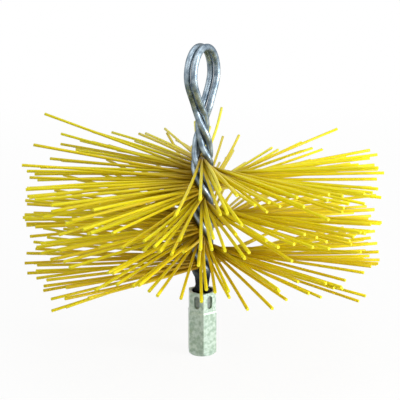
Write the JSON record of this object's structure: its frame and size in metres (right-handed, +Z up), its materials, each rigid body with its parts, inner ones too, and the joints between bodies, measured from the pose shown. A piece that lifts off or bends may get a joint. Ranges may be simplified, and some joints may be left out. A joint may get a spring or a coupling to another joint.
{
  "type": "chimney sweep brush",
  "caption": "Round chimney brush of stiff poly bristles clamped in a twisted wire stem, with a double wire loop above and a hexagonal threaded socket below for a sweeping rod.",
  "frame": {"origin": "centre of the threaded socket's mouth, at the socket's lower face", "axes": "+Z up the twisted stem towards the wire loops, the loops lie in planes parallel to XZ, +X and -X point to their two flanks"},
  "size_m": [0.1997, 0.2015, 0.1795],
  "materials": {
    "stem_wire": "galvanised, satin",
    "socket_zinc": "zinc plated, mottled satin",
    "poly_bristle": "satin, slightly translucent"
  },
  "bodies": {
    "root": {"loop_wire_front": "stem_wire", "loop_wire_back": "stem_wire", "hex_socket": "socket_zinc", "bristle_tuft_01": "poly_bristle", "bristle_tuft_02": "poly_bristle", "bristle_tuft_03": "poly_bristle", "bristle_tuft_04": "poly_bristle", "bristle_tuft_05": "poly_bristle", "bristle_tuft_06": "poly_bristle", "bristle_tuft_07": "poly_bristle", "bristle_tuft_08": "poly_bristle", "bristle_tuft_09": "poly_bristle", "bristle_tuft_10": "poly_bristle", "bristle_tuft_11": "poly_bristle", "bristle_tuft_12": "poly_bristle", "bristle_tuft_13": "poly_bristle", "bristle_tuft_14": "poly_bristle", "bristle_tuft_15": "poly_bristle", "bristle_tuft_16": "poly_bristle", "bristle_tuft_17": "poly_bristle", "bristle_tuft_18": "poly_bristle"}
  },
  "joints": []
}
